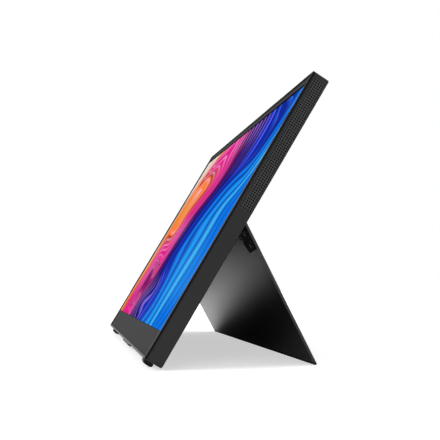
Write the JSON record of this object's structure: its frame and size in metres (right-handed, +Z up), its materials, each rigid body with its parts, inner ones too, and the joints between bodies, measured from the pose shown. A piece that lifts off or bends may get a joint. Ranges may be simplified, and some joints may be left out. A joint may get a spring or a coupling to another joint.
{
  "type": "portable monitor",
  "caption": "Slim portable display with a flush glass front in a black frame, a dark grey housing with punched side grilles, rubber feet, and a full-width folding rear stand.",
  "frame": {"origin": "middle of the bounding box at floor level, with the stand open at its resting angle", "axes": "+X to the right of someone who faces the screen, +Y away from them, +Z up; the screen faces -Y and leans back"},
  "size_m": [0.322, 0.1132, 0.1802],
  "materials": {
    "printed_glass": "fine etched glass with a black printed border and a lit picture",
    "frame_plastic": "satin black moulding",
    "cover_plastic": "fine matte dark grey",
    "grille_plastic": "fine matte dark grey, punched",
    "foot_rubber": "matte black",
    "key_plastic": "satin black",
    "screw_steel": "plain",
    "stand_metal": "dark satin anodised",
    "leaf_metal": "satin black",
    "hinge_steel": "plain",
    "cell_glass": "dark",
    "clear_film": "clear",
    "white_film": "white",
    "tray_metal": "mill",
    "board_laminate": "green solder mask",
    "amber_foil": "amber",
    "cable_plastic": "white",
    "chip_plastic": "matte black",
    "socket_steel": "plated",
    "black_film": "black"
  },
  "bodies": {
    "monitor": {"audio_socket": "chip_plastic", "cover_glass": "printed_glass", "cover_screws": "screw_steel", "display_cable": "cable_plastic", "display_cell": "cell_glass", "display_tray": "tray_metal", "driver_board": "board_laminate", "driver_foils": "amber_foil", "film_stack": "clear_film", "front_frame": "frame_plastic", "insulator_sheet": "black_film", "key_board": "board_laminate", "key_cable": "cable_plastic", "key_surround": "key_plastic", "key_switches": "chip_plastic", "left_foot": "foot_rubber", "left_grille": "grille_plastic", "left_hinge_bracket": "hinge_steel", "left_hinge_pin": "hinge_steel", "left_speaker": "chip_plastic", "left_speaker_lead": "cable_plastic", "light_bar": "white_film", "light_guide": "clear_film", "lower_usb_socket": "socket_steel", "main_board": "board_laminate", "rear_cover": "cover_plastic", "reflector_sheet": "white_film", "right_foot": "foot_rubber", "right_grille": "grille_plastic", "right_hinge_bracket": "hinge_steel", "right_hinge_pin": "hinge_steel", "right_speaker": "chip_plastic", "right_speaker_lead": "cable_plastic", "scaler_chip": "chip_plastic", "shield_can": "socket_steel", "upper_usb_socket": "socket_steel", "video_socket": "socket_steel"},
    "stand": {"stand_plate": "stand_metal", "stand_edge": "foot_rubber", "leaf_screws": "screw_steel", "left_hinge_leaf": "leaf_metal", "right_hinge_leaf": "leaf_metal"},
    "power_button": {"power_key": "key_plastic"},
    "menu_button": {"menu_key": "key_plastic"},
    "back_button": {"back_key": "key_plastic"},
    "down_button": {"down_key": "key_plastic"},
    "up_button": {"up_key": "key_plastic"}
  },
  "joints": [
    {"name": "stand_hinge", "type": "hinge", "parent": "monitor", "child": "stand", "pos_m": [0, 0.00182, 0.08581], "axis": [1, 0, 0], "range_deg": [-58.9, 31]},
    {"name": "power_key_press", "type": "slide", "parent": "monitor", "child": "power_button", "axis": [0, 0.512, 0.859], "range_m": [0, 0.0005], "stiffness_N_per_m": 800, "springref_m": -0.001},
    {"name": "menu_key_press", "type": "slide", "parent": "monitor", "child": "menu_button", "axis": [0, 0.512, 0.859], "range_m": [0, 0.0005], "stiffness_N_per_m": 800, "springref_m": -0.001},
    {"name": "back_key_press", "type": "slide", "parent": "monitor", "child": "back_button", "axis": [0, 0.512, 0.859], "range_m": [0, 0.0005], "stiffness_N_per_m": 800, "springref_m": -0.001},
    {"name": "down_key_press", "type": "slide", "parent": "monitor", "child": "down_button", "axis": [0, 0.512, 0.859], "range_m": [0, 0.0005], "stiffness_N_per_m": 800, "springref_m": -0.001},
    {"name": "up_key_press", "type": "slide", "parent": "monitor", "child": "up_button", "axis": [0, 0.512, 0.859], "range_m": [0, 0.0005], "stiffness_N_per_m": 800, "springref_m": -0.001}
  ]
}
